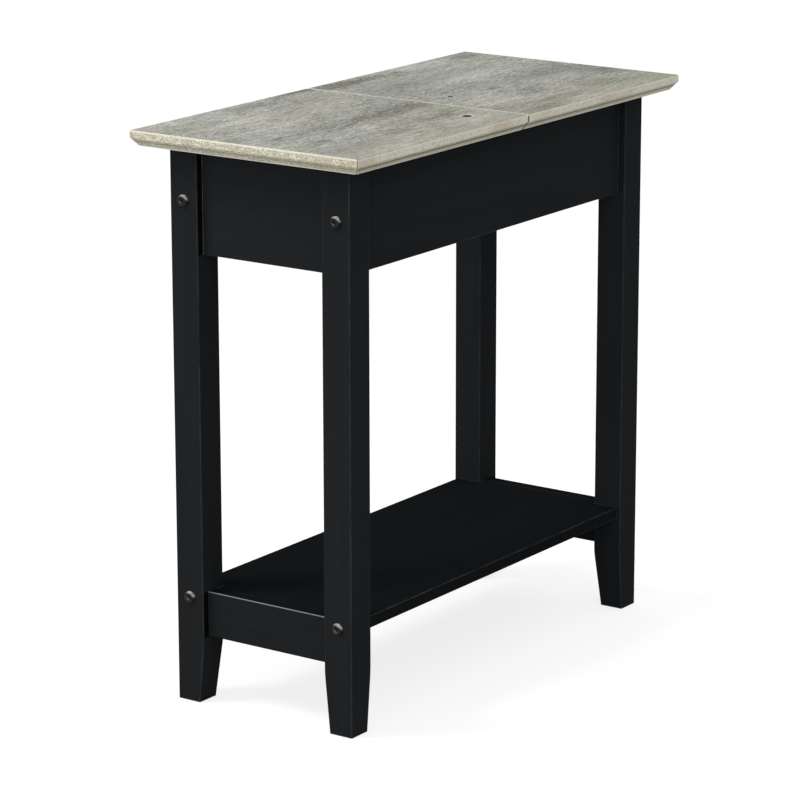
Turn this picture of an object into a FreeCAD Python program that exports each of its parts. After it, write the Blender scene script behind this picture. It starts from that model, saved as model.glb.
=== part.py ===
import FreeCAD, Part
import math
import os
import Sketcher

# Narrow flip top end table. The front half of the top is a lid over a storage box.
# Origin on the floor under the middle of the top. +Z is up. X runs along the top, the lid
# covers the -X half ("front"), and +Y is the left side.

doc = FreeCAD.newDocument("flip_top_end_table")

# ---------------------------------------------------------------------------
# Driving dimensions, in millimetres
# ---------------------------------------------------------------------------

DIMENSIONS = {
    # whole table
    "table_height": 609.6,
    "top_length": 609.6,
    "top_width": 285.75,
    "top_thickness": 16.5,
    "end_overhang": 28.0,
    "side_overhang": 30.4,
    # legs
    "leg_side": 34.2,
    "leg_taper": 6.3,
    "leg_bend_radius": 150.0,
    "leg_edge_round": 1.0,
    # aprons
    "apron_height": 111.5,
    "apron_thickness": 15.0,
    "apron_recess": 9.0,
    "apron_edge_round": 0.8,
    # lower rails at the two ends
    "rail_height": 49.4,
    "rail_thickness": 15.0,
    "rail_recess": 9.0,
    "rail_lip": 0.2,
    "rail_edge_round": 2.0,
    # lower shelf
    "shelf_level": 121.0,
    "shelf_thickness": 13.0,
    "shelf_inset": 4.0,
    "shelf_edge_round": 0.8,
    # edge strips and laminate of the top
    "strip_width": 14.0,
    "band_height": 7.8,
    "lip_step": 0.8,
    "undercut": 7.5,
    "edge_ease": 1.6,
    "corner_ease": 1.6,
    "mitre_gap": 0.3,
    "laminate_thickness": 0.8,
    # storage box under the lid
    "floor_thickness": 5.0,
    "floor_lift": 8.0,
    "groove_depth": 5.0,
    "panel_play": 0.3,
    "divider_thickness": 12.0,
    "divider_setback": 1.2,
    # hinges in the seam
    "hinge_inset": 57.875,
    "hinge_length": 38.0,
    "leaf_thickness": 0.7,
    "leaf_play": 0.1,
    "leaf_drop": 13.0,
    "knuckle_radius": 1.6,
    "knuckle_clearance": 0.35,
    "knuckle_play": 0.2,
    "pin_radius": 0.8,
    "pin_fit": 0.05,
    "pin_depth": 1.7,
    "hinge_screw_radius": 1.2,
    "hinge_screw_head_radius": 2.2,
    "hinge_screw_length": 14.0,
    "hinge_screw_spread": 22.0,
    "hinge_screw_drop": 7.5,
    "cross_slot_length": 2.6,
    "cross_slot_width": 0.6,
    "cross_slot_depth": 0.5,
    # connector bolts and their barrel nuts
    "bolt_radius": 3.0,
    "bolt_hole_play": 0.5,
    "bolt_length": 62.0,
    "bolt_head_radius": 6.5,
    "bolt_head_height": 3.6,
    "bolt_head_round": 3.2,
    "socket_radius": 2.5,
    "socket_depth": 2.2,
    "nut_radius": 5.0,
    "nut_length": 10.0,
    "nut_inset": 22.0,
    "driver_slot_width": 1.2,
    "driver_slot_depth": 1.0,
    "fastener_fit": 0.05,
    "blind_end_play": 0.5,
    # dowels
    "dowel_radius": 4.0,
    "dowel_length": 28.0,
    "dowel_in_leg": 12.0,
    "dowel_chamfer": 0.8,
    "side_dowel_inset": 20.0,
    "end_dowel_inset": 36.0,
    "rail_dowel_lift": 12.0,
    "rail_dowel_drop": 20.0,
    # angle brackets under the rear top
    "bracket_flange": 20.0,
    "bracket_width": 18.0,
    "bracket_thickness": 1.5,
    "bracket_screw_radius": 2.0,
    "bracket_screw_length": 12.0,
    "bracket_head_radius": 3.8,
    "bracket_head_height": 2.4,
    "bracket_head_round": 1.4,
}

KNUCKLES = 5          # knuckles per hinge: the fixed leaf has the odd ones, the lid leaf the even
SOCKET_SIDES = 6      # sides of the key socket in a bolt head
EASE_ANGLE = 45       # slope of the eased top edges, in degrees
QUARTER_TURN = 90     # degrees
CUT_MARGIN = 5.0      # how far a cutting outline reaches past the face that it cuts
SAME_PLACE = 1e-4     # two coordinates closer than this are taken as one

sizes = doc.addObject("Spreadsheet::Sheet", "sizes")
for row, (alias, length) in enumerate(DIMENSIONS.items(), start=1):
    sizes.set(f"A{row}", str(length))
    sizes.setAlias(f"A{row}", alias)
doc.recompute()

# ---------------------------------------------------------------------------
# Places worked out from the driving dimensions, as expressions on the sheet
# ---------------------------------------------------------------------------

half_top_length = "(sizes.top_length / 2)"
half_top_width = "(sizes.top_width / 2)"
top_underside = "(sizes.table_height - sizes.top_thickness)"
half_leg = "(sizes.leg_side / 2)"
leg_face_x = "(sizes.top_length / 2 - sizes.end_overhang)"
leg_face_y = "(sizes.top_width / 2 - sizes.side_overhang)"
leg_centre_x = f"({leg_face_x} - {half_leg})"
leg_centre_y = f"({leg_face_y} - {half_leg})"
leg_inner_x = f"({leg_face_x} - sizes.leg_side)"
leg_inner_y = f"({leg_face_y} - sizes.leg_side)"

apron_bottom = f"({top_underside} - sizes.apron_height)"
half_apron = "(sizes.apron_thickness / 2)"
apron_line_x = f"({leg_face_x} - sizes.apron_recess - {half_apron})"
apron_line_y = f"({leg_face_y} - sizes.apron_recess - {half_apron})"
apron_inner_x = f"({apron_line_x} - {half_apron})"
apron_inner_y = f"({apron_line_y} - {half_apron})"
apron_mid = "(sizes.apron_height / 2)"
apron_bolt_level = f"({apron_bottom} + {apron_mid})"

rail_bottom = "(sizes.shelf_level + sizes.rail_lip - sizes.rail_height)"
half_rail = "(sizes.rail_thickness / 2)"
rail_line_x = f"({leg_face_x} - sizes.rail_recess - {half_rail})"
rail_inner_x = f"({rail_line_x} - {half_rail})"
shelf_bottom = "(sizes.shelf_level - sizes.shelf_thickness)"
half_shelf = "(sizes.shelf_thickness / 2)"
shelf_bolt_level = f"({shelf_bottom} + {half_shelf})"

half_seam = "(sizes.leaf_thickness + sizes.leaf_play)"
pin_level = "(sizes.table_height - sizes.pin_depth)"
knuckle_relief = "(sizes.knuckle_radius + sizes.knuckle_clearance)"
hinge_line_y = f"({half_top_width} - sizes.hinge_inset)"
board_thickness = "(sizes.top_thickness - sizes.laminate_thickness)"
board_end_x = f"({half_top_length} - sizes.strip_width)"
board_edge_y = f"({half_top_width} - sizes.strip_width)"
laminate_inset = "(sizes.edge_ease - sizes.laminate_thickness)"
divider_front_x = f"({half_seam} + sizes.divider_setback)"

bolt_hole_radius = "(sizes.bolt_radius + sizes.bolt_hole_play)"
bolt_reach = "(sizes.bolt_length - sizes.leg_side + sizes.blind_end_play)"
nut_hole_radius = "(sizes.nut_radius + sizes.fastener_fit)"
dowel_hole_radius = "(sizes.dowel_radius + sizes.fastener_fit)"
dowel_leg_depth = "(sizes.dowel_in_leg + sizes.blind_end_play)"
dowel_rail_depth = "(sizes.dowel_length - sizes.dowel_in_leg + sizes.blind_end_play)"
groove_top = "(sizes.floor_lift + sizes.floor_thickness + sizes.panel_play)"
bracket_line_x = f"(({divider_front_x} + sizes.divider_thickness + {leg_inner_x}) / 2)"
bracket_reach = "(sizes.bracket_flange / 2)"
bracket_screw_level = f"(sizes.apron_height - {bracket_reach})"
bracket_hole_radius = "(sizes.bracket_screw_radius + sizes.fastener_fit)"
bracket_hole_depth = (
    "(sizes.bracket_screw_length - sizes.bracket_thickness + sizes.blind_end_play)"
)

side_dowel_levels = [
    "sizes.side_dowel_inset",
    "(sizes.apron_height - sizes.side_dowel_inset)",
]
end_dowel_levels = [
    "sizes.end_dowel_inset",
    "(sizes.apron_height - sizes.end_dowel_inset)",
]
rail_dowel_levels = [
    "sizes.rail_dowel_lift",
    "(sizes.rail_height - sizes.rail_dowel_drop)",
]

FRONT, REAR = -1, 1
RIGHT, LEFT = -1, 1
END_NAMES = {FRONT: "front", REAR: "rear"}
SIDE_NAMES = {LEFT: "left", RIGHT: "right"}

# ---------------------------------------------------------------------------
# Drawing helpers
# ---------------------------------------------------------------------------

sub_parts = []


def number(expression):
    """Present value of an expression on the sheet."""
    return float(sizes.evalExpression(expression))


def place(item, x="0", y="0", z="0"):
    """Bind an object's position to three expressions."""
    item.setExpression("Placement.Base.x", x)
    item.setExpression("Placement.Base.y", y)
    item.setExpression("Placement.Base.z", z)


def new_body(name, x="0", y="0", z="0"):
    """Start a sub-part as a body with its own label and place."""
    body = doc.addObject("PartDesign::Body", name)
    body.Label = name
    body.AllowCompound = True
    place(body, x, y, z)
    sub_parts.append(body)
    return body


def new_sketch(body, role, position="0"):
    """Sketch parallel to one of the body's origin planes, at a position along its axis."""
    plane = [item for item in body.Origin.OriginFeatures if item.Role == role][0]
    sketch = body.newObject("Sketcher::SketchObject", body.Name + "_sketch")
    sketch.AttachmentSupport = (plane, [""])
    sketch.MapMode = "FlatFace"
    normal = "-1" if role == "XZ_Plane" else "1"
    sketch.setExpression("AttachmentOffset.Base.z", f"{normal} * {position}")
    return sketch


def locate(sketch, geometry, point, across, up):
    """Bind one point of a sketch to its two coordinates."""
    for kind, expression in (("DistanceX", across), ("DistanceY", up)):
        constraint = Sketcher.Constraint(kind, -1, 1, geometry, point, number(expression))
        index = sketch.addConstraint(constraint)
        sketch.setExpression(f"Constraints[{index}]", expression)


def draw_outline(sketch, corners):
    """Closed outline through corners given as pairs of expressions."""
    points = [FreeCAD.Vector(number(across), number(up), 0) for across, up in corners]
    first = sketch.GeometryCount
    count = len(points)
    for i in range(count):
        sketch.addGeometry(Part.LineSegment(points[i], points[(i + 1) % count]), False)
    for i in range(count):
        following = first + (i + 1) % count
        sketch.addConstraint(Sketcher.Constraint("Coincident", first + i, 2, following, 1))
    for i, (across, up) in enumerate(corners):
        locate(sketch, first + i, 1, across, up)


def draw_rectangle(sketch, low, high):
    """Rectangle between two corners given as pairs of expressions."""
    draw_outline(sketch, [low, (high[0], low[1]), high, (low[0], high[1])])


def draw_circle(sketch, across, up, radius):
    """Circle whose centre and radius are expressions."""
    centre = FreeCAD.Vector(number(across), number(up), 0)
    up_axis = FreeCAD.Vector(0, 0, 1)
    index = sketch.addGeometry(Part.Circle(centre, up_axis, number(radius)), False)
    locate(sketch, index, 3, across, up)
    constraint = sketch.addConstraint(Sketcher.Constraint("Radius", index, number(radius)))
    sketch.setExpression(f"Constraints[{constraint}]", radius)


def pad(body, sketch, length, midplane=True):
    """Raise a sketch, half to each side of its plane or all along the plane's normal."""
    feature = body.newObject("PartDesign::Pad", body.Name + "_pad")
    feature.Profile = sketch
    feature.Midplane = midplane
    feature.setExpression("Length", length)
    return feature


def cut(body, sketch, depth):
    """Cut a sketch out of the body, to the same depth on both sides of its plane."""
    feature = body.newObject("PartDesign::Pocket", body.Name + "_pocket")
    feature.Profile = sketch
    feature.Midplane = True
    feature.setExpression("Length", f"2 * {depth}")
    return feature


def drill(body, role, position, centres, radius, depth):
    """Round holes of one depth, square to an origin plane at a position."""
    sketch = new_sketch(body, role, position)
    for across, up in centres:
        draw_circle(sketch, across, up, radius)
    return cut(body, sketch, depth)


def dress_edges(body, kind, size_property, size, chosen):
    """Fillet or chamfer every edge of the body's last feature that the test accepts."""
    doc.recompute()
    base = body.Tip
    names = [
        f"Edge{i}" for i, edge in enumerate(base.Shape.Edges, start=1) if chosen(edge)
    ]
    feature = body.newObject(kind, body.Name + "_ease")
    feature.Base = (base, names)
    feature.setExpression(size_property, size)
    return feature


def round_edges(body, radius, chosen):
    return dress_edges(body, "PartDesign::Fillet", "Radius", radius, chosen)


def chamfer_edges(body, size, chosen):
    return dress_edges(body, "PartDesign::Chamfer", "Size", size, chosen)


def ends_of(edge):
    return [vertex.Point for vertex in edge.Vertexes]


def runs_along(axis):
    """Test for straight edges parallel to an axis (0, 1 or 2)."""
    def test(edge):
        if edge.Curve.TypeId != "Part::GeomLine":
            return False
        return near(abs(edge.Curve.Direction[axis]), 1)
    return test


def near(a, b):
    return abs(a - b) < SAME_PLACE


# ---------------------------------------------------------------------------
# Legs
# ---------------------------------------------------------------------------

def draw_taper(sketch, inward):
    """What the taper takes off one inner face: a slope that bends softly into the face."""
    face = f"({inward} * {half_leg})"
    foot = f"({inward} * ({half_leg} - sizes.leg_taper))"
    outside = f"({inward} * ({half_leg} + {CUT_MARGIN}))"
    radius = number("sizes.leg_bend_radius")
    bend = FreeCAD.Vector(number(face) - inward * radius, number(rail_bottom), 0)
    slope = math.atan(number("sizes.leg_taper") / number(rail_bottom))
    circle = Part.Circle(bend, FreeCAD.Vector(0, 0, 1), radius)
    if inward > 0:
        arc = Part.ArcOfCircle(circle, -slope, 0)
        low, ends = arc.StartPoint, {"low": 1, "high": 2}
    else:
        arc = Part.ArcOfCircle(circle, math.pi, math.pi + slope)
        low, ends = arc.EndPoint, {"low": 2, "high": 1}
    corners = [
        FreeCAD.Vector(number(face), number(rail_bottom), 0),
        FreeCAD.Vector(number(outside), number(rail_bottom), 0),
        FreeCAD.Vector(number(outside), 0, 0),
        FreeCAD.Vector(number(foot), 0, 0),
        low,
    ]
    for start, finish in zip(corners, corners[1:]):
        sketch.addGeometry(Part.LineSegment(start, finish), False)
    bow = sketch.addGeometry(arc, False)
    slant = bow - 1
    for line in range(slant):
        sketch.addConstraint(Sketcher.Constraint("Coincident", line, 2, line + 1, 1))
    sketch.addConstraint(Sketcher.Constraint("Coincident", bow, ends["high"], 0, 1))
    sketch.addConstraint(Sketcher.Constraint("Tangent", slant, 2, bow, ends["low"]))
    radius_index = sketch.addConstraint(Sketcher.Constraint("Radius", bow, radius))
    sketch.setExpression(f"Constraints[{radius_index}]", "sizes.leg_bend_radius")
    level_index = sketch.addConstraint(
        Sketcher.Constraint("DistanceY", -1, 1, bow, 3, number(rail_bottom))
    )
    sketch.setExpression(f"Constraints[{level_index}]", rail_bottom)
    locate(sketch, 0, 1, face, rail_bottom)
    locate(sketch, 1, 1, outside, rail_bottom)
    locate(sketch, 2, 1, outside, "0")
    locate(sketch, 3, 1, foot, "0")


def make_leg(end, side):
    """Square leg on its own centre line, tapered on the two faces that look inward."""
    name = f"{END_NAMES[end]}_{SIDE_NAMES[side]}_leg"
    x = f"{end} * {leg_centre_x}"
    y = f"{side} * {leg_centre_y}"
    body = new_body(name, x, y)
    square = new_sketch(body, "XY_Plane")
    draw_rectangle(square, (f"-{half_leg}", f"-{half_leg}"), (half_leg, half_leg))
    pad(body, square, top_underside, midplane=False)

    for role, inward in (("XZ_Plane", -end), ("YZ_Plane", -side)):
        wedge = new_sketch(body, role)
        draw_taper(wedge, inward)
        cut(body, wedge, "sizes.leg_side")

    def upright(edge):
        low, high = sorted(point.z for point in ends_of(edge))
        return high - low > 1

    round_edges(body, "sizes.leg_edge_round", upright)

    bolt_y = f"{side} * ({apron_line_y} - {leg_centre_y})"
    bolts = [(bolt_y, apron_bolt_level), ("0", shelf_bolt_level)]
    drill(body, "YZ_Plane", "0", bolts, bolt_hole_radius, "sizes.leg_side")
    side_dowels = [(bolt_y, f"({apron_bottom} + {level})") for level in side_dowel_levels]
    inner_x = f"({-end} * {half_leg})"
    drill(body, "YZ_Plane", inner_x, side_dowels, dowel_hole_radius, dowel_leg_depth)
    end_x = f"{end} * ({apron_line_x} - {leg_centre_x})"
    rail_x = f"{end} * ({rail_line_x} - {leg_centre_x})"
    end_dowels = [(end_x, f"({apron_bottom} + {level})") for level in end_dowel_levels]
    end_dowels += [(rail_x, f"({rail_bottom} + {level})") for level in rail_dowel_levels]
    inner_y = f"({-side} * {half_leg})"
    drill(body, "XZ_Plane", inner_y, end_dowels, dowel_hole_radius, dowel_leg_depth)


# ---------------------------------------------------------------------------
# Aprons
# ---------------------------------------------------------------------------

def make_side_apron(side):
    """Long apron, with a groove for the box floor, a housing for the divider and bolt bores."""
    body = new_body(f"{SIDE_NAMES[side]}_apron", y=f"{side} * {apron_line_y}", z=apron_bottom)
    face = new_sketch(body, "XZ_Plane")
    draw_rectangle(face, (f"-{leg_inner_x}", "0"), (leg_inner_x, "sizes.apron_height"))
    pad(body, face, "sizes.apron_thickness")
    round_edges(body, "sizes.apron_edge_round", lower_edges_along(0))

    inner_y = f"({-side} * {half_apron})"
    groove = new_sketch(body, "XZ_Plane", inner_y)
    draw_rectangle(
        groove,
        (f"-{leg_inner_x}", "sizes.floor_lift"),
        (f"{divider_front_x} + sizes.groove_depth", groove_top),
    )
    cut(body, groove, "sizes.groove_depth")
    housing = new_sketch(body, "XZ_Plane", inner_y)
    draw_rectangle(
        housing,
        (divider_front_x, f"-{CUT_MARGIN}"),
        (f"{divider_front_x} + sizes.divider_thickness", f"sizes.apron_height + {CUT_MARGIN}"),
    )
    cut(body, housing, "sizes.groove_depth")

    nut_x = f"({leg_inner_x} - sizes.nut_inset)"
    nuts = [(f"-{nut_x}", apron_mid), (nut_x, apron_mid)]
    nut_bore_depth = f"({half_apron} + sizes.nut_length / 2)"
    drill(body, "XZ_Plane", inner_y, nuts, nut_hole_radius, nut_bore_depth)
    for end in (FRONT, REAR):
        end_face = f"({end} * {leg_inner_x})"
        drill(body, "YZ_Plane", end_face, [("0", apron_mid)], bolt_hole_radius, bolt_reach)
        dowels = [("0", level) for level in side_dowel_levels]
        drill(body, "YZ_Plane", end_face, dowels, dowel_hole_radius, dowel_rail_depth)
    screw_hole = [(bracket_line_x, bracket_screw_level)]
    drill(body, "XZ_Plane", inner_y, screw_hole, bracket_hole_radius, bracket_hole_depth)


def make_end_apron(end):
    """Short apron between two legs. The front one has the groove for the box floor."""
    body = new_body(f"{END_NAMES[end]}_apron", x=f"{end} * {apron_line_x}", z=apron_bottom)
    face = new_sketch(body, "YZ_Plane")
    draw_rectangle(face, (f"-{leg_inner_y}", "0"), (leg_inner_y, "sizes.apron_height"))
    pad(body, face, "sizes.apron_thickness")
    round_edges(body, "sizes.apron_edge_round", lower_edges_along(1))

    inner_x = f"({-end} * {half_apron})"
    if end == FRONT:
        groove = new_sketch(body, "YZ_Plane", inner_x)
        low = (f"-{leg_inner_y}", "sizes.floor_lift")
        draw_rectangle(groove, low, (leg_inner_y, groove_top))
        cut(body, groove, "sizes.groove_depth")
    else:
        screw_hole = [("0", bracket_screw_level)]
        drill(body, "YZ_Plane", inner_x, screw_hole, bracket_hole_radius, bracket_hole_depth)
    for side in (RIGHT, LEFT):
        end_face = f"({side} * {leg_inner_y})"
        dowels = [("0", level) for level in end_dowel_levels]
        drill(body, "XZ_Plane", end_face, dowels, dowel_hole_radius, dowel_rail_depth)


def lower_edges_along(axis):
    """Test for the long edges of a board's underside."""
    straight = runs_along(axis)

    def test(edge):
        return straight(edge) and all(near(point.z, 0) for point in ends_of(edge))
    return test


# ---------------------------------------------------------------------------
# Lower rails and shelf
# ---------------------------------------------------------------------------

def make_lower_rail(end):
    """Rail between two legs near the floor, with both long edges of its faces eased."""
    body = new_body(f"{END_NAMES[end]}_lower_rail", x=f"{end} * {rail_line_x}", z=rail_bottom)
    face = new_sketch(body, "YZ_Plane")
    draw_rectangle(face, (f"-{leg_inner_y}", "0"), (leg_inner_y, "sizes.rail_height"))
    pad(body, face, "sizes.rail_thickness")
    round_edges(body, "sizes.rail_edge_round", runs_along(1))
    for side in (RIGHT, LEFT):
        end_face = f"({side} * {leg_inner_y})"
        dowels = [("0", level) for level in rail_dowel_levels]
        drill(body, "XZ_Plane", end_face, dowels, dowel_hole_radius, dowel_rail_depth)


def make_shelf():
    """Shelf panel: its corners are notched round the legs, its ends meet the lower rails."""
    body = new_body("lower_shelf", z=shelf_bottom)
    edge_y = f"({leg_face_y} - sizes.shelf_inset)"
    tongue_y = f"({leg_inner_y} - sizes.panel_play)"
    quarter = [
        (rail_inner_x, tongue_y),
        (leg_inner_x, tongue_y),
        (leg_inner_x, edge_y),
    ]
    outline = list(quarter)
    outline += [(f"-{x}", y) for x, y in reversed(quarter)]
    outline += [(f"-{x}", f"-{y}") for x, y in quarter]
    outline += [(x, f"-{y}") for x, y in reversed(quarter)]
    plan = new_sketch(body, "XY_Plane")
    draw_outline(plan, outline)
    pad(body, plan, "sizes.shelf_thickness", midplane=False)

    outer = number(edge_y)

    def side_edge(edge):
        return runs_along(0)(edge) and all(near(abs(point.y), outer) for point in ends_of(edge))

    round_edges(body, "sizes.shelf_edge_round", side_edge)
    nut_x = f"({leg_inner_x} - sizes.nut_inset)"
    nuts = []
    for end in (FRONT, REAR):
        end_face = f"({end} * {leg_inner_x})"
        bolts = [(f"-{leg_centre_y}", half_shelf), (leg_centre_y, half_shelf)]
        drill(body, "YZ_Plane", end_face, bolts, bolt_hole_radius, bolt_reach)
        nuts += [(f"{end} * {nut_x}", f"-{leg_centre_y}"), (f"{end} * {nut_x}", leg_centre_y)]
    nut_bore_depth = f"({half_shelf} + sizes.nut_length / 2)"
    drill(body, "XY_Plane", "0", nuts, nut_hole_radius, nut_bore_depth)


# ---------------------------------------------------------------------------
# Storage box under the lid
# ---------------------------------------------------------------------------

def make_divider():
    """Panel across the table under the seam, housed in the side aprons."""
    centre_x = f"({divider_front_x} + sizes.divider_thickness / 2)"
    body = new_body("storage_divider", x=centre_x, z=apron_bottom)
    half_width = f"({apron_inner_y} + sizes.groove_depth - sizes.panel_play)"
    face = new_sketch(body, "YZ_Plane")
    draw_rectangle(face, (f"-{half_width}", "0"), (half_width, "sizes.apron_height"))
    pad(body, face, "sizes.divider_thickness")
    groove = new_sketch(body, "YZ_Plane", "(-sizes.divider_thickness / 2)")
    beyond = f"({half_width} + {CUT_MARGIN})"
    draw_rectangle(groove, (f"-{beyond}", "sizes.floor_lift"), (beyond, groove_top))
    cut(body, groove, "sizes.groove_depth")


def make_storage_floor():
    """Thin floor panel, its edges in the grooves and its front corners cut round the legs."""
    body = new_body("storage_floor", z=f"{apron_bottom} + sizes.floor_lift")
    tongue = "(sizes.groove_depth - sizes.panel_play)"
    front = f"(-{apron_inner_x} - {tongue})"
    rear = f"({divider_front_x} + {tongue})"
    edge = f"({apron_inner_y} + {tongue})"
    notch_x = f"(-{leg_inner_x} + sizes.panel_play)"
    notch_y = f"({leg_inner_y} - sizes.panel_play)"
    plan = new_sketch(body, "XY_Plane")
    draw_outline(plan, [
        (front, f"-{notch_y}"),
        (notch_x, f"-{notch_y}"),
        (notch_x, f"-{edge}"),
        (rear, f"-{edge}"),
        (rear, edge),
        (notch_x, edge),
        (notch_x, notch_y),
        (front, notch_y),
    ])
    pad(body, plan, "sizes.floor_thickness", midplane=False)


# ---------------------------------------------------------------------------
# Top: two boards, their edge strips and their laminate
# ---------------------------------------------------------------------------

TOP_NAMES = {FRONT: "flip_top", REAR: "rear_top"}


def strip_outline(inward):
    """Section of an edge strip: upright band, small step, then a bevel to the underside.

    Coordinates are the distance in from the outer face and the height over the underside.
    """
    underside_edge = "sizes.undercut"
    band_foot = "(sizes.top_thickness - sizes.band_height)"
    ease_foot = "(sizes.top_thickness - sizes.edge_ease)"
    corners = [
        ("sizes.strip_width", "0"),
        (underside_edge, "0"),
        ("sizes.lip_step", band_foot),
        ("0", band_foot),
        ("0", ease_foot),
        (laminate_inset, board_thickness),
        ("sizes.strip_width", board_thickness),
    ]
    return [(f"{inward} * {across}", up) for across, up in corners]


def make_end_strip(end):
    """Strip along the short end of the top, mitred at both corners."""
    name = f"{TOP_NAMES[end]}_end_strip"
    body = new_body(name, x=f"{end} * {half_top_length}", z=top_underside)
    inward = -end
    section = new_sketch(body, "XZ_Plane")
    draw_outline(section, strip_outline(inward))
    pad(body, section, "sizes.top_width")
    for side in (RIGHT, LEFT):
        cut_corner(body, lambda along, across: (f"{inward} * {across}", f"{side} * {along}"),
                   half_top_width)


def make_side_strip(end, side):
    """Strip along half of a long edge: mitred at the corner, square at the seam."""
    name = f"{TOP_NAMES[end]}_{SIDE_NAMES[side]}_strip"
    body = new_body(name, y=f"{side} * {half_top_width}", z=top_underside)
    inward = -side
    middle = f"({end} * ({half_top_length} + {half_seam}) / 2)"
    section = new_sketch(body, "YZ_Plane", middle)
    draw_outline(section, strip_outline(inward))
    pad(body, section, f"{half_top_length} - {half_seam}")
    cut_corner(body, lambda along, across: (f"{end} * {along}", f"{inward} * {across}"),
               half_top_length)
    ease_seam(body, end, "sizes.top_width")


def cut_corner(body, point, length):
    """Mitre a strip at a corner of the top, and ease the corner's upright edge.

    point(along, across) turns a distance along the strip and one in from its outer face into
    the plan's two coordinates. length is the distance along the strip to the corner.
    """
    past = CUT_MARGIN
    inner = f"(sizes.strip_width + {past})"
    mitre = new_sketch(body, "XY_Plane")
    draw_outline(mitre, [
        point(f"({length} - sizes.mitre_gap + {past})", f"(-{past})"),
        point(f"({length} - sizes.mitre_gap - {inner})", inner),
        point(f"({length} - sizes.mitre_gap + {past})", inner),
    ])
    cut(body, mitre, "sizes.table_height")
    corner = new_sketch(body, "XY_Plane")
    draw_outline(corner, [
        point(f"({length} - sizes.corner_ease - {past})", f"(-{past})"),
        point(f"({length} + {past})", f"(sizes.corner_ease + {past})"),
        point(f"({length} + {past})", f"(-{past})"),
    ])
    cut(body, corner, "sizes.table_height")


def ease_seam(body, end, width):
    """Take the top edge off at the seam, at the same slope as the outer edges."""
    top = "sizes.top_thickness"
    face = half_seam
    over = f"({face} - {CUT_MARGIN})"
    slope = new_sketch(body, "XZ_Plane")
    draw_outline(slope, [
        (f"{end} * {over}", f"({top} - sizes.edge_ease - {CUT_MARGIN})"),
        (f"{end} * ({face} + sizes.edge_ease + {CUT_MARGIN})", f"({top} + {CUT_MARGIN})"),
        (f"{end} * {over}", f"({top} + {CUT_MARGIN})"),
    ])
    cut(body, slope, width)


def make_board(end):
    """Core board of one half of the top, with its seat for the hinges."""
    body = new_body(f"{TOP_NAMES[end]}_board", z=top_underside)
    plan = new_sketch(body, "XY_Plane")
    near_corner = (f"{end} * {half_seam}", f"-{board_edge_y}")
    far_corner = (f"{end} * {board_end_x}", board_edge_y)
    draw_rectangle(plan, near_corner, far_corner)
    pad(body, plan, board_thickness, midplane=False)
    ease_seam(body, end, "sizes.top_width")

    relief_half = "(sizes.hinge_length / 2 + sizes.knuckle_clearance)"
    pin_height = f"({pin_level} - {top_underside})"
    screw_height = f"({pin_height} - sizes.hinge_screw_drop)"
    screws = []
    for side in (RIGHT, LEFT):
        hinge_y = f"({side} * {hinge_line_y})"
        relief = [("0", pin_height)]
        drill(body, "XZ_Plane", hinge_y, relief, knuckle_relief, relief_half)
        for step in (-1, 1):
            screws.append((f"({hinge_y} + {step} * sizes.hinge_screw_spread / 2)", screw_height))
    seam_face = f"({end} * {half_seam})"
    pilot = "(sizes.hinge_screw_radius + sizes.fastener_fit)"
    drill(body, "YZ_Plane", seam_face, screws, pilot, "sizes.hinge_screw_length")
    seat = "(sizes.hinge_screw_head_radius - sizes.leaf_thickness + sizes.fastener_fit)"
    sunk = "(sizes.hinge_screw_head_radius - sizes.hinge_screw_radius - sizes.leaf_thickness)"
    drill(body, "YZ_Plane", seam_face, screws, seat, f"({sunk} + sizes.fastener_fit)")
    if end == REAR:
        fixings = bracket_screw_plan()
        drill(body, "XY_Plane", "0", fixings, bracket_hole_radius, bracket_hole_depth)


def make_laminate(end):
    """Decor sheet on one half of the top. Its edges slope on with the eased edges below."""
    body = new_body(f"{TOP_NAMES[end]}_laminate", z=f"{top_underside} + {board_thickness}")
    plan = new_sketch(body, "XY_Plane")
    seam_x = f"({half_seam} + {laminate_inset})"
    end_x = f"({half_top_length} - {laminate_inset})"
    edge_y = f"({half_top_width} - {laminate_inset})"
    draw_rectangle(plan, (f"{end} * {seam_x}", f"-{edge_y}"), (f"{end} * {end_x}", edge_y))
    sheet = pad(body, plan, "sizes.laminate_thickness", midplane=False)
    sheet.TaperAngle = -EASE_ANGLE


# ---------------------------------------------------------------------------
# Hinges
# ---------------------------------------------------------------------------

def new_part(kind, name, **lengths):
    """Part primitive whose sizes are bound to expressions."""
    item = doc.addObject(kind, name)
    for size_property, expression in lengths.items():
        item.setExpression(size_property, expression)
    return item


def fuse(name, pieces):
    joined = doc.addObject("Part::MultiFuse", name)
    joined.Shapes = pieces
    return joined


def subtract(name, base, pieces):
    tools = fuse(name + "_tools", pieces)
    result = doc.addObject("Part::Cut", name)
    result.Base = base
    result.Tool = tools
    return result


def turn(item, axis, degrees):
    item.Placement = FreeCAD.Placement(
        item.Placement.Base, FreeCAD.Rotation(FreeCAD.Vector(*axis), degrees)
    )


TURN_Z_TO_Y = ((1, 0, 0), -QUARTER_TURN)
TURN_Z_TO_X = {FRONT: ((0, 1, 0), -QUARTER_TURN), REAR: ((0, 1, 0), QUARTER_TURN)}

knuckle_pitch = f"(sizes.hinge_length / {KNUCKLES})"


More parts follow.
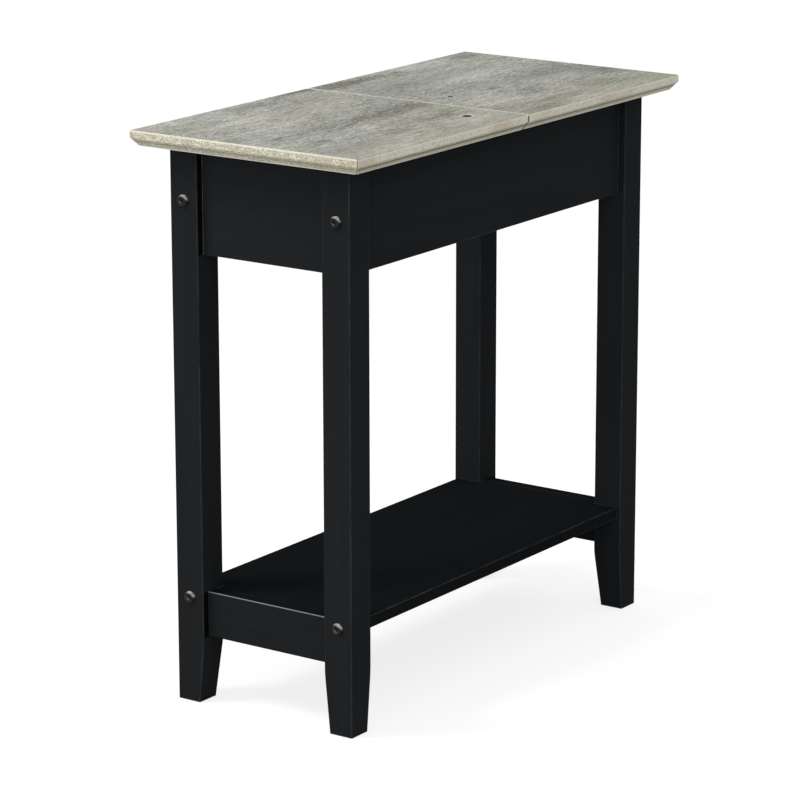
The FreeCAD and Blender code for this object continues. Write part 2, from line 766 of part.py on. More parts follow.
def make_leaf(end, side):
    """Leaf of one hinge: a plate on the seam face and its share of the knuckles."""
    owner = {FRONT: "lid", REAR: "fixed"}[end]
    name = f"{SIDE_NAMES[side]}_hinge_{owner}_leaf"
    first = {FRONT: 1, REAR: 0}[end]
    low_x = {FRONT: f"(-{half_seam})", REAR: "sizes.leaf_play"}[end]

    plate = new_part("Part::Box", name + "_plate", Length="sizes.leaf_thickness",
                     Width="sizes.hinge_length",
                     Height=f"sizes.leaf_drop - {knuckle_relief}")
    place(plate, low_x, "-sizes.hinge_length / 2", "-sizes.leaf_drop")
    pieces = [plate]
    for index in range(first, KNUCKLES, 2):
        start = f"(({index} - {KNUCKLES} / 2) * {knuckle_pitch} + sizes.knuckle_play / 2)"
        width = f"{knuckle_pitch} - sizes.knuckle_play"
        neck = new_part("Part::Box", name + "_neck", Length="sizes.leaf_thickness",
                        Width=width, Height=knuckle_relief)
        place(neck, low_x, start, f"-{knuckle_relief}")
        knuckle = new_part("Part::Cylinder", name + "_knuckle",
                           Radius="sizes.knuckle_radius", Height=width)
        turn(knuckle, *TURN_Z_TO_Y)
        place(knuckle, "0", start, "0")
        pieces += [neck, knuckle]

    bore = new_part("Part::Cylinder", name + "_bore",
                    Radius="sizes.pin_radius + sizes.pin_fit", Height="2 * sizes.hinge_length")
    turn(bore, *TURN_Z_TO_Y)
    place(bore, "0", "-sizes.hinge_length", "0")
    cuts = [bore]
    for step in (-1, 1):
        sink = new_part("Part::Cone", name + "_countersink",
                        Radius1="sizes.hinge_screw_head_radius + sizes.fastener_fit",
                        Radius2="sizes.hinge_screw_head_radius - sizes.leaf_thickness"
                                " + sizes.fastener_fit",
                        Height="sizes.leaf_thickness")
        turn(sink, *TURN_Z_TO_X[end])
        place(sink, f"{end} * sizes.leaf_play", f"{step} * sizes.hinge_screw_spread / 2",
              "-sizes.hinge_screw_drop")
        cuts.append(sink)

    leaf = subtract(name, fuse(name + "_blank", pieces), cuts)
    leaf.Label = name
    place(leaf, "0", f"{side} * {hinge_line_y}", pin_level)
    sub_parts.append(leaf)


def make_hinge_pin(side):
    """Plain pin, as long as the hinge."""
    pin = new_part("Part::Cylinder", f"{SIDE_NAMES[side]}_hinge_pin",
                   Radius="sizes.pin_radius", Height="sizes.hinge_length")
    turn(pin, *TURN_Z_TO_Y)
    place(pin, "0", f"{side} * {hinge_line_y} - sizes.hinge_length / 2", pin_level)
    sub_parts.append(pin)


def make_hinge_screws(end):
    """Countersunk screws of the leaves on one side of the seam."""
    owner = {FRONT: "lid", REAR: "fixed"}[end]
    name = f"hinge_{owner}_screws"
    head_height = "(sizes.hinge_screw_head_radius - sizes.hinge_screw_radius)"
    shank_length = f"(sizes.hinge_screw_length - {head_height} - sizes.blind_end_play)"
    screws = []
    for side in (RIGHT, LEFT):
        for step in (-1, 1):
            y = f"({side} * {hinge_line_y} + {step} * sizes.hinge_screw_spread / 2)"
            z = f"({pin_level} - sizes.hinge_screw_drop)"
            head = new_part("Part::Cone", name + "_head", Height=head_height,
                            Radius1="sizes.hinge_screw_head_radius",
                            Radius2="sizes.hinge_screw_radius")
            shank = new_part("Part::Cylinder", name + "_shank", Height=shank_length,
                             Radius="sizes.hinge_screw_radius")
            place(shank, z=head_height)
            along = "sizes.cross_slot_length"
            across = "sizes.cross_slot_width"
            slots = [make_head_slot(name, along, across), make_head_slot(name, across, along)]
            screw = subtract(name + "_one", fuse(name + "_blank", [head, shank]), slots)
            turn(screw, *TURN_Z_TO_X[end])
            place(screw, f"{end} * sizes.leaf_play", y, z)
            screws.append(screw)
    group(name, screws)


def make_head_slot(name, length, width):
    """One arm of the cross in a screw head, centred on the screw's axis."""
    slot = new_part("Part::Box", name + "_slot", Length=length, Width=width,
                    Height="sizes.cross_slot_depth")
    place(slot, f"-{length} / 2", f"-{width} / 2")
    return slot


def group(name, pieces):
    """One sub-part made of several identical loose pieces."""
    together = doc.addObject("Part::Compound", name)
    together.Label = name
    together.Links = pieces
    sub_parts.append(together)


# ---------------------------------------------------------------------------
# Connector bolts, barrel nuts and dowels
# ---------------------------------------------------------------------------

def make_bolts(name, bolt_y, level):
    """Round-headed socket bolts through the legs, one at each corner of the table."""
    body = new_body(name, z=level)
    for end in (FRONT, REAR):
        middle = f"({end} * ({leg_face_x} - sizes.bolt_length / 2))"
        shank = new_sketch(body, "YZ_Plane", middle)
        for side in (RIGHT, LEFT):
            draw_circle(shank, f"{side} * {bolt_y}", "0", "sizes.bolt_radius")
        pad(body, shank, "sizes.bolt_length")
        head_middle = f"({end} * ({leg_face_x} + sizes.bolt_head_height / 2))"
        head = new_sketch(body, "YZ_Plane", head_middle)
        for side in (RIGHT, LEFT):
            draw_circle(head, f"{side} * {bolt_y}", "0", "sizes.bolt_head_radius")
        pad(body, head, "sizes.bolt_head_height")
    crown = number(f"{leg_face_x} + sizes.bolt_head_height")
    round_edges(body, "sizes.bolt_head_round",
                lambda edge: near(abs(edge.CenterOfMass.x), crown) and len(edge.Vertexes) == 1)
    for end in (FRONT, REAR):
        crown_face = f"({end} * ({leg_face_x} + sizes.bolt_head_height))"
        socket = new_sketch(body, "YZ_Plane", crown_face)
        for side in (RIGHT, LEFT):
            corners = []
            for corner in range(SOCKET_SIDES):
                angle = math.tau * corner / SOCKET_SIDES
                across = f"({side} * {bolt_y} + {math.cos(angle):.6f} * sizes.socket_radius)"
                corners.append((across, f"({math.sin(angle):.6f} * sizes.socket_radius)"))
            draw_outline(socket, corners)
        cut(body, socket, "sizes.socket_depth")


def make_barrel_nuts(name, nut_y, level, upright):
    """Cross dowels with a threaded hole, one for each bolt, along Y or upright.

    The end that shows, on the inner face or on the underside, has a slot for turning the nut.
    """
    body = new_body(name, z=level)
    nut_x = f"({leg_inner_x} - sizes.nut_inset)"
    half_nut = "(sizes.nut_length / 2)"
    half_slot = "(sizes.driver_slot_width / 2)"
    slot_reach = f"(sizes.nut_radius + {CUT_MARGIN})"
    for side in (RIGHT, LEFT):
        y = f"({side} * {nut_y})"
        if upright:
            role, middle, shown_end, up = "XY_Plane", "0", f"(-{half_nut})", y
        else:
            role, middle, shown_end, up = "XZ_Plane", y, f"({side} * ({nut_y} - {half_nut}))", "0"
        outline = new_sketch(body, role, middle)
        for end in (FRONT, REAR):
            draw_circle(outline, f"{end} * {nut_x}", up, "sizes.nut_radius")
        pad(body, outline, "sizes.nut_length")
        slots = new_sketch(body, role, shown_end)
        for end in (FRONT, REAR):
            low = (f"({end} * {nut_x} - {slot_reach})", f"({up} - {half_slot})")
            high = (f"({end} * {nut_x} + {slot_reach})", f"({up} + {half_slot})")
            draw_rectangle(slots, low, high)
        cut(body, slots, "sizes.driver_slot_depth")
    thread = "(sizes.bolt_radius + sizes.fastener_fit)"
    holes = [(f"{side} * {nut_y}", "0") for side in (RIGHT, LEFT)]
    drill(body, "YZ_Plane", "0", holes, thread, half_top_length)


def make_dowels(name, role, joints, position, outward_length):
    """Dowels across the joints at both ends of a member, chamfered at both tips.

    joints lists the dowel centres in the joint plane, position is the joint's distance from
    the middle of the table and outward_length is how much of each dowel lies in the leg.
    """
    body = new_body(name)
    for end in (-1, 1):
        middle = f"({end} * ({position} + {outward_length} - sizes.dowel_length / 2))"
        section = new_sketch(body, role, middle)
        for across, up in joints:
            draw_circle(section, across, up, "sizes.dowel_radius")
        pad(body, section, "sizes.dowel_length")
    chamfer_edges(body, "sizes.dowel_chamfer", lambda edge: len(edge.Vertexes) == 1)


# ---------------------------------------------------------------------------
# Angle brackets that hold the rear top
# ---------------------------------------------------------------------------

def bracket_screw_plan():
    """Places of the screws through the brackets' upper flanges."""
    return [
        (bracket_line_x, f"-({apron_inner_y} - {bracket_reach})"),
        (bracket_line_x, f"({apron_inner_y} - {bracket_reach})"),
        (f"({apron_inner_x} - {bracket_reach})", "0"),
    ]


def make_brackets():
    """Steel angles between the aprons' inner faces and the underside of the rear board."""
    overcut = "(sizes.bracket_thickness / 2)"
    spots = [
        (bracket_line_x, f"-{apron_inner_y}", QUARTER_TURN),
        (bracket_line_x, apron_inner_y, -QUARTER_TURN),
        (apron_inner_x, "0", 2 * QUARTER_TURN),
    ]
    brackets = []
    screws = []
    for x, y, heading in spots:
        upright = new_part("Part::Box", "bracket_upright", Length="sizes.bracket_thickness",
                           Width="sizes.bracket_width", Height="sizes.bracket_flange")
        place(upright, "0", "-sizes.bracket_width / 2", "-sizes.bracket_flange")
        flat = new_part("Part::Box", "bracket_flat", Length="sizes.bracket_flange",
                        Width="sizes.bracket_width", Height="sizes.bracket_thickness")
        place(flat, "0", "-sizes.bracket_width / 2", "-sizes.bracket_thickness")
        side_hole = new_part("Part::Cylinder", "bracket_hole", Radius=bracket_hole_radius,
                             Height="2 * sizes.bracket_thickness")
        turn(side_hole, *TURN_Z_TO_X[REAR])
        place(side_hole, f"-{overcut}", "0", f"-{bracket_reach}")
        top_hole = new_part("Part::Cylinder", "bracket_hole", Radius=bracket_hole_radius,
                            Height="2 * sizes.bracket_thickness")
        place(top_hole, bracket_reach, "0", f"-sizes.bracket_thickness - {overcut}")
        bracket = subtract("bracket", fuse("bracket_blank", [upright, flat]),
                           [side_hole, top_hole])
        turn(bracket, (0, 0, 1), heading)
        place(bracket, x, y, top_underside)
        brackets.append(bracket)

        screw_up = make_round_screw()
        place(screw_up, bracket_reach, "0", "-sizes.bracket_thickness")
        screw_side = make_round_screw()
        turn(screw_side, *TURN_Z_TO_X[FRONT])
        place(screw_side, "sizes.bracket_thickness", "0", f"-{bracket_reach}")
        pair = doc.addObject("Part::Compound", "bracket_screw_pair")
        pair.Links = [screw_up, screw_side]
        turn(pair, (0, 0, 1), heading)
        place(pair, x, y, top_underside)
        screws.append(pair)
    group("top_brackets", brackets)
    group("top_bracket_screws", screws)


def make_round_screw():
    """Round-headed wood screw that points along +Z, its head's seat at the origin."""
    body = doc.addObject("PartDesign::Body", "round_screw")
    shank = new_sketch(body, "XY_Plane")
    draw_circle(shank, "0", "0", "sizes.bracket_screw_radius")
    pad(body, shank, "sizes.bracket_screw_length", midplane=False)
    head = new_sketch(body, "XY_Plane", "(-sizes.bracket_head_height / 2)")
    draw_circle(head, "0", "0", "sizes.bracket_head_radius")
    pad(body, head, "sizes.bracket_head_height")
    lowest = -number("sizes.bracket_head_height")
    round_edges(body, "sizes.bracket_head_round",
                lambda edge: len(edge.Vertexes) == 1 and near(edge.CenterOfMass.z, lowest))
    slot = new_sketch(body, "XY_Plane", "(-sizes.bracket_head_height)")
    half = "(sizes.driver_slot_width / 2)"
    length = "sizes.bracket_head_radius"
    draw_rectangle(slot, (f"-{length}", f"-{half}"), (length, half))
    cut(body, slot, "sizes.driver_slot_depth")
    return body


# ---------------------------------------------------------------------------
# The table
# ---------------------------------------------------------------------------

for end in (FRONT, REAR):
    for side in (LEFT, RIGHT):
        make_leg(end, side)
for side in (LEFT, RIGHT):
    make_side_apron(side)
for end in (FRONT, REAR):
    make_end_apron(end)
    make_lower_rail(end)
make_shelf()
make_storage_floor()
make_divider()
for end in (FRONT, REAR):
    make_board(end)
    make_laminate(end)
    make_end_strip(end)
    for side in (LEFT, RIGHT):
        make_side_strip(end, side)
for side in (LEFT, RIGHT):
    make_leaf(FRONT, side)
    make_leaf(REAR, side)
    make_hinge_pin(side)
for end in (FRONT, REAR):
    make_hinge_screws(end)
make_bolts("apron_bolts", apron_line_y, apron_bolt_level)
make_bolts("shelf_bolts", leg_centre_y, shelf_bolt_level)
make_barrel_nuts("apron_barrel_nuts", apron_line_y, apron_bolt_level, upright=False)
make_barrel_nuts("shelf_barrel_nuts", leg_centre_y, shelf_bolt_level, upright=True)
make_dowels("side_apron_dowels", "YZ_Plane",
            [(f"{side} * {apron_line_y}", f"({apron_bottom} + {level})")
             for side in (RIGHT, LEFT) for level in side_dowel_levels],
            leg_inner_x, "sizes.dowel_in_leg")
make_dowels("end_apron_dowels", "XZ_Plane",
            [(f"{end} * {apron_line_x}", f"({apron_bottom} + {level})")
             for end in (FRONT, REAR) for level in end_dowel_levels],
            leg_inner_y, "sizes.dowel_in_leg")
make_dowels("lower_rail_dowels", "XZ_Plane",
            [(f"{end} * {rail_line_x}", f"({rail_bottom} + {level})")
             for end in (FRONT, REAR) for level in rail_dowel_levels],
            leg_inner_y, "sizes.dowel_in_leg")
make_brackets()
doc.recompute()

# ---------------------------------------------------------------------------
# Check every object, then write each sub-part
# ---------------------------------------------------------------------------

for item in doc.Objects:
    if "Invalid" in item.State or "Error" in item.State:
        raise RuntimeError(f"{item.Label} failed: {item.State}")
for item in sub_parts:
    if item.Shape.isNull() or not item.Shape.isValid():
        raise RuntimeError(f"{item.Label} has no valid shape")

os.makedirs("parts", exist_ok=True)
for item in sub_parts:
    item.Shape.exportStep(f"parts/{item.Label}.step")
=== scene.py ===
import math

import bpy
from mathutils import Matrix, Vector


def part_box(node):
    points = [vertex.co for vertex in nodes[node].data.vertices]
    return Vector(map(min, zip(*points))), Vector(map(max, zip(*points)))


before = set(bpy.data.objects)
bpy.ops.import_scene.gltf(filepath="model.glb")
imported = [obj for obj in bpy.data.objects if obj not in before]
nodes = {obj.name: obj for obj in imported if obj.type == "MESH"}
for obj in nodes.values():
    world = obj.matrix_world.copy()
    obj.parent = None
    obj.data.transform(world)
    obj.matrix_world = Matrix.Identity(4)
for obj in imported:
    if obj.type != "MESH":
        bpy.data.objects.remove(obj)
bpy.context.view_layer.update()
scene = bpy.context.scene

# The table's own levels and faces, in metres, as the CAD has them.
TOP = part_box("rear_top_laminate")[1].z
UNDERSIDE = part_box("rear_top_board")[0].z
TOP_HALF_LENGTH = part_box("rear_top_end_strip")[1].x
TOP_HALF_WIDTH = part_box("rear_top_left_strip")[1].y
SEAM_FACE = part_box("rear_top_left_strip")[0].x
LEG_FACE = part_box("front_left_leg")[0].x
LEG_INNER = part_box("front_left_leg")[0].y
APRON_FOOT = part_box("front_apron")[0].z
RAIL_FACE, RAIL_BACK = (corner.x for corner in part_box("front_lower_rail"))
RAIL_FOOT, RAIL_TOP = (corner.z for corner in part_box("front_lower_rail"))


# ---------------------------------------------------------------------------
# Camera
# ---------------------------------------------------------------------------

CAMERA_PLACE = Vector((-3.1188, -2.1638, 1.2716))
CAMERA_AZIMUTH = 0.9598      # from +Y towards +X, in radians
CAMERA_DIP = 0.2549          # below the horizon
CAMERA_ROLL = -0.0015
FOCAL_PIXELS = 3626.4
FRAME_PIXELS = 800
SENSOR_MM = 36.0


def make_camera():
    data = bpy.data.cameras.new("camera")
    data.sensor_width = SENSOR_MM
    data.lens = FOCAL_PIXELS / FRAME_PIXELS * SENSOR_MM
    data.clip_start = 0.05
    data.clip_end = 100.0
    camera = bpy.data.objects.new("camera", data)
    scene.collection.objects.link(camera)
    flat = math.cos(CAMERA_DIP)
    forward = Vector((math.sin(CAMERA_AZIMUTH) * flat, math.cos(CAMERA_AZIMUTH) * flat,
                      -math.sin(CAMERA_DIP)))
    right = Vector((math.cos(CAMERA_AZIMUTH), -math.sin(CAMERA_AZIMUTH), 0.0))
    up = right.cross(forward)
    tilted_right = right * math.cos(CAMERA_ROLL) + up * math.sin(CAMERA_ROLL)
    tilted_up = up * math.cos(CAMERA_ROLL) - right * math.sin(CAMERA_ROLL)
    turn = Matrix((tilted_right, tilted_up, -forward)).transposed().to_4x4()
    camera.matrix_world = Matrix.Translation(CAMERA_PLACE) @ turn
    scene.camera = camera


# ---------------------------------------------------------------------------
# Node helpers
# ---------------------------------------------------------------------------

class Graph:
    """A node tree that is written one expression at a time."""

    def __init__(self, tree):
        self.tree = tree
        tree.nodes.clear()

    def node(self, kind, settings=None, **inputs):
        made = self.tree.nodes.new(kind)
        for name, value in (settings or {}).items():
            setattr(made, name, value)
        for name, value in inputs.items():
            self.feed(made, name.replace("_", " "), value)
        return made

    def feed(self, node, name, value):
        socket = node.inputs[int(name)] if name.isdigit() else node.inputs[name]
        if isinstance(value, bpy.types.NodeSocket):
            self.tree.links.new(value, socket)
        elif isinstance(value, tuple) and len(value) == 3 and len(socket.default_value) == 4:
            socket.default_value = (*value, 1.0)
        else:
            socket.default_value = value

    def math(self, operation, first, second=0.0, clamp=False):
        made = self.node("ShaderNodeMath", {"operation": operation, "use_clamp": clamp})
        self.feed(made, "0", first)
        self.feed(made, "1", second)
        return made.outputs[0]

    def add(self, *values):
        total = values[0]
        for value in values[1:]:
            total = self.math("ADD", total, value)
        return total

    def times(self, *values):
        total = values[0]
        for value in values[1:]:
            total = self.math("MULTIPLY", total, value)
        return total

    def ramp(self, value, low, high):
        """0 below low, 1 above high, smooth between. low may be above high."""
        made = self.node("ShaderNodeMapRange", {"interpolation_type": "SMOOTHSTEP"})
        rising = high > low
        self.feed(made, "Value", value)
        self.feed(made, "From Min", min(low, high))
        self.feed(made, "From Max", max(low, high))
        self.feed(made, "To Min", 0.0 if rising else 1.0)
        self.feed(made, "To Max", 1.0 if rising else 0.0)
        return made.outputs["Result"]

    def mix(self, factor, first, second):
        made = self.node("ShaderNodeMix", {"data_type": "RGBA"})
        self.feed(made, "0", factor)
        self.feed(made, "6", first)
        self.feed(made, "7", second)
        return made.outputs[2]

    def colours(self, value, stops):
        made = self.node("ShaderNodeValToRGB")
        self.feed(made, "0", value)
        elements = made.color_ramp.elements
        while len(elements) < len(stops):
            elements.new(0.5)
        for element, (position, colour) in zip(elements, stops):
            element.position = position
            element.color = (*colour, 1.0)
        return made.outputs[0]

    def place(self):
        """Position on the object at rest, in metres."""
        return self.node("ShaderNodeTexCoord").outputs["Object"]

    def axes(self, place):
        return self.node("ShaderNodeSeparateXYZ", Vector=place).outputs

    def stretched(self, place, scale, shift=(0.0, 0.0, 0.0)):
        made = self.node("ShaderNodeMapping", {"vector_type": "POINT"}, Vector=place)
        made.inputs["Scale"].default_value = scale
        made.inputs["Location"].default_value = shift
        return made.outputs[0]

    def noise(self, place, scale=1.0, detail=2.0, roughness=0.5, distortion=0.0):
        made = self.node("ShaderNodeTexNoise", Vector=place, Scale=scale, Detail=detail,
                         Roughness=roughness, Distortion=distortion)
        return made.outputs[0]

    def blob(self, place, centre, radii):
        """1 in the middle of an ellipse that lies flat on the top, 0 at its rim."""
        scale = (1.0 / radii[0], 1.0 / radii[1], 0.0)
        shift = (-centre[0] * scale[0], -centre[1] * scale[1], 0.0)
        moved = self.stretched(place, scale, shift)
        made = self.node("ShaderNodeTexGradient", {"gradient_type": "SPHERICAL"}, Vector=moved)
        return made.outputs[1]

    def bump(self, height, strength, distance):
        made = self.node("ShaderNodeBump", Height=height, Strength=strength, Distance=distance)
        return made.outputs[0]


def srgb(red, green, blue):
    """Linear colour of an 8-bit screen colour."""
    values = []
    for value in (red, green, blue):
        share = value / 255.0
        values.append(share / 12.92 if share <= 0.04045 else ((share + 0.055) / 1.055) ** 2.4)
    return tuple(values)


def new_material(name):
    material = bpy.data.materials.new(name)
    material.use_nodes = True
    graph = Graph(material.node_tree)
    output = graph.node("ShaderNodeOutputMaterial")
    surface = graph.node("ShaderNodeBsdfPrincipled")
    graph.feed(output, "Surface", surface.outputs[0])
    return material, graph, surface


def finish_surface(graph, surface, **values):
    for name, value in values.items():
        graph.feed(surface, name.replace("_", " "), value)


# ---------------------------------------------------------------------------
# Materials
# ---------------------------------------------------------------------------

ALONG_X, ALONG_Y, ALONG_Z = 0, 1, 2

CREAM = srgb(200, 196, 174)
CREAM_LIGHT = srgb(229, 226, 208)
CREAM_DARK = srgb(148, 143, 120)
CREAM_PINK = srgb(198, 180, 152)
BEVEL_DARK = srgb(112, 104, 72)
JOINT_DIRT_AND_SHADE = srgb(66, 60, 48)
RAW_BOARD = srgb(150, 134, 108)
RAW_CHIPS = srgb(186, 172, 146)
BLACK = srgb(34, 36, 38)
BLACK_THIN = srgb(42, 42, 42)
BLACK_WORN_AND_HIGHLIT = srgb(140, 142, 146)
BLACK_HIGHLIGHT = srgb(146, 147, 149)
RECESS_SHADE_BLACK = (0.0, 0.0, 0.0)
ZINC = srgb(202, 201, 196)
ZINC_DULL = srgb(168, 168, 164)
OXIDE = srgb(28, 28, 29)
OXIDE_DARK = srgb(20, 20, 21)
STEEL_HIGHLIGHT = srgb(205, 205, 202)
BEECH = srgb(196, 160, 116)
BEECH_PALE = srgb(222, 190, 148)


def cream(graph, place, along, painted_light_lift, speckle):
    """Speckled cream of the edge strips. along is the axis that its fine marks follow. Lifting the
    plain cream towards CREAM_LIGHT is painted light, which the side strips get and the end strips
    do not.
    """
    stretch = [620.0, 620.0, 620.0]
    stretch[along] = 380.0
    fine = graph.noise(graph.stretched(place, tuple(stretch)), 1.0, 3.0, 0.65)
    stretch = [330.0, 330.0, 330.0]
    stretch[along] = 110.0
    coarse = graph.noise(graph.stretched(place, tuple(stretch)), 1.0, 3.0, 0.6)
    wide = graph.noise(graph.stretched(place, (11.0, 11.0, 11.0), (0.0, 0.47, 0.0)), 1.0, 2.0, 0.5)
    # Lifting towards CREAM_LIGHT here is painted light.
    plain = tuple(value + (light - value) * painted_light_lift for value, light in zip(CREAM, CREAM_LIGHT))
    colour = graph.mix(graph.times(graph.ramp(coarse, 0.44, 0.66), speckle), plain, CREAM_LIGHT)
    colour = graph.mix(graph.times(graph.ramp(wide, 0.52, 0.66), 0.5), colour, CREAM_PINK)
    colour = graph.mix(graph.times(graph.ramp(fine, 0.49, 0.39), speckle, 0.9), colour, CREAM_DARK)
    return colour, graph.add(fine, coarse)


def laminate_tone(graph, place, seed, marks, knots):
    """Grey value of the weathered wood decor, 0 dark to 1 light, and its fine height."""
    shift = (seed * 3.1, seed * 1.7, 0.0)
    bend = graph.noise(graph.stretched(place, (3.0, 9.0, 1.0), shift), 1.0, 2.0, 0.5)
    bend = graph.math("SUBTRACT", bend, 0.5)
    parts = graph.axes(place)
    lifted = graph.add(parts["Y"], graph.times(bend, 0.012))
    for x, y, size in knots:
        swirl = graph.blob(place, (x, y), (size * 7.0, size * 3.2))
        away = graph.math("SUBTRACT", parts["Y"], y)
        lifted = graph.math("SUBTRACT", lifted, graph.times(swirl, away, 0.75))
    bent = graph.node("ShaderNodeCombineXYZ", X=parts["X"], Y=lifted, Z=parts["Z"]).outputs[0]

    clouds = graph.noise(graph.stretched(bent, (9.0, 24.0, 1.0), shift), 1.0, 2.0, 0.5, 0.3)
    bands = graph.noise(graph.stretched(bent, (9.0, 90.0, 1.0), shift), 1.0, 4.0, 0.65, 0.6)
    grain = graph.noise(graph.stretched(bent, (55.0, 380.0, 1.0), shift), 1.0, 4.0, 0.7, 0.3)
    hairs = graph.noise(graph.stretched(bent, (90.0, 1500.0, 1.0), shift), 1.0, 2.0, 0.6)
    flecks = graph.noise(graph.stretched(bent, (260.0, 520.0, 1.0), shift), 1.0, 3.0, 0.6)

    tone = graph.add(
        0.5,
        graph.times(graph.math("SUBTRACT", clouds, 0.5), 0.6),
        graph.times(graph.math("SUBTRACT", bands, 0.5), 0.3),
        graph.times(graph.math("SUBTRACT", grain, 0.5), 1.9),
        graph.times(graph.math("SUBTRACT", hairs, 0.5), 1.0),
        graph.times(graph.math("SUBTRACT", flecks, 0.5), 2.0),
    )
    ragged = graph.add(graph.times(bands, 1.2), graph.times(grain, 1.4), -0.4)
    ragged = graph.math("MAXIMUM", ragged, 0.15)
    rough_x = graph.times(graph.math("SUBTRACT", clouds, 0.5), 0.09)
    rough_y = graph.times(graph.math("SUBTRACT", bands, 0.5), 0.03)
    offset = graph.node("ShaderNodeCombineXYZ", X=rough_x, Y=rough_y).outputs[0]
    torn = graph.node("ShaderNodeVectorMath", {"operation": "ADD"})
    graph.feed(torn, "0", place)
    graph.feed(torn, "1", offset)
    for x, y, reach_x, reach_y, strength in marks:
        spot = graph.blob(torn.outputs[0], (x, y), (reach_x, reach_y))
        spot = graph.ramp(spot, 0.0, 0.75)
        tone = graph.math("SUBTRACT", tone, graph.times(spot, ragged, strength))
    height = graph.add(grain, graph.times(hairs, 0.5), graph.times(flecks, 0.4))
    return tone, height


LAMINATE_STOPS = [
    (0.0, srgb(112, 112, 103)),
    (0.26, srgb(144, 144, 135)),
    (0.5, srgb(169, 169, 160)),
    (0.74, srgb(187, 187, 179)),
    (1.0, srgb(210, 210, 203)),
]
WARM_GREY = srgb(172, 168, 148)
COOL_GREY = srgb(162, 164, 164)
SEAM_LINE = srgb(203, 202, 192)
KNOT_RIM = srgb(205, 203, 194)
KNOT_HEART = srgb(8, 7, 6)


def grey_decor(graph, place, seed, marks, knots):
    """Colour and height of the weathered grey wood."""
    tone, height = laminate_tone(graph, place, seed, marks, knots)
    colour = graph.colours(tone, LAMINATE_STOPS)
    warmth = graph.noise(graph.stretched(place, (6.0, 20.0, 1.0), (seed, 0.0, 0.0)), 1.0, 2.0)
    colour = graph.mix(graph.times(graph.ramp(warmth, 0.5, 0.66), 0.25), colour, WARM_GREY)
    colour = graph.mix(graph.times(graph.ramp(warmth, 0.48, 0.36), 0.3), colour, COOL_GREY)
    near_right = graph.ramp(graph.axes(place)["Y"], -0.06, -0.13)
    colour = graph.mix(graph.times(near_right, 0.3), colour, WARM_GREY)
    for x, y, size in knots:
        rim = graph.ramp(graph.blob(place, (x, y), (size * 2.4, size * 2.2)), 0.0, 0.3)
        heart = graph.ramp(graph.blob(place, (x, y), (size * 1.3, size * 1.25)), 0.1, 0.2)
        colour = graph.mix(graph.times(rim, 0.4), colour, KNOT_RIM)
        colour = graph.mix(heart, colour, KNOT_HEART)
        height = graph.math("SUBTRACT", height, graph.times(heart, 1.5))
    return colour, height


def make_laminate(name, seed, marks, knots):
    """Decor sheet: grey wood on the flat, light cream where its edge slopes down, a painted
    highlight that is strongest at the ends and the seam.
    """
    material, graph, surface = new_material(name)
    place = graph.place()
    colour, height = grey_decor(graph, place, seed, marks, knots)
    parts = graph.axes(place)
    outer = graph.ramp(graph.math("ABSOLUTE", parts["X"]), 0.004, 0.008)
    slope_colour = graph.mix(outer, SEAM_LINE, CREAM_LIGHT)
    on_slope = graph.ramp(parts["Z"], TOP - 0.00002, TOP - 0.00006)
    from_side = graph.math("SUBTRACT", TOP_HALF_WIDTH, graph.math("ABSOLUTE", parts["Y"]))
    # The cream on the slopes is a painted highlight: pale at the ends and the seam, fainter along
    # the sides.
    paleness = graph.add(0.35, graph.times(graph.ramp(from_side, 0.0017, 0.0019), 0.5))
    colour = graph.mix(graph.times(on_slope, paleness), colour, slope_colour)
    finish_surface(graph, surface, Base_Color=colour, Specular_IOR_Level=0.002,
                   Roughness=graph.add(0.5, graph.times(height, 0.08)),
                   Normal=graph.bump(height, 0.25, 0.0002))
    return material


# Depths below the top (m) between which each mark on the edge strips comes in or fades out.
ARRIS_ENDS = (0.0021, 0.0012)
GLAZE_STARTS = (0.0077, 0.0083)
GLAZE_DEEPENS = (0.0099, 0.0106)
GLAZE_FADES = (0.0138, 0.0114)
STEP_STARTS, STEP_ENDS = (0.0101, 0.0107), (0.0119, 0.0112)
LOWER_ARRIS_STARTS, LOWER_ARRIS_ENDS = (0.0152, 0.0158), (0.0172, 0.0168)


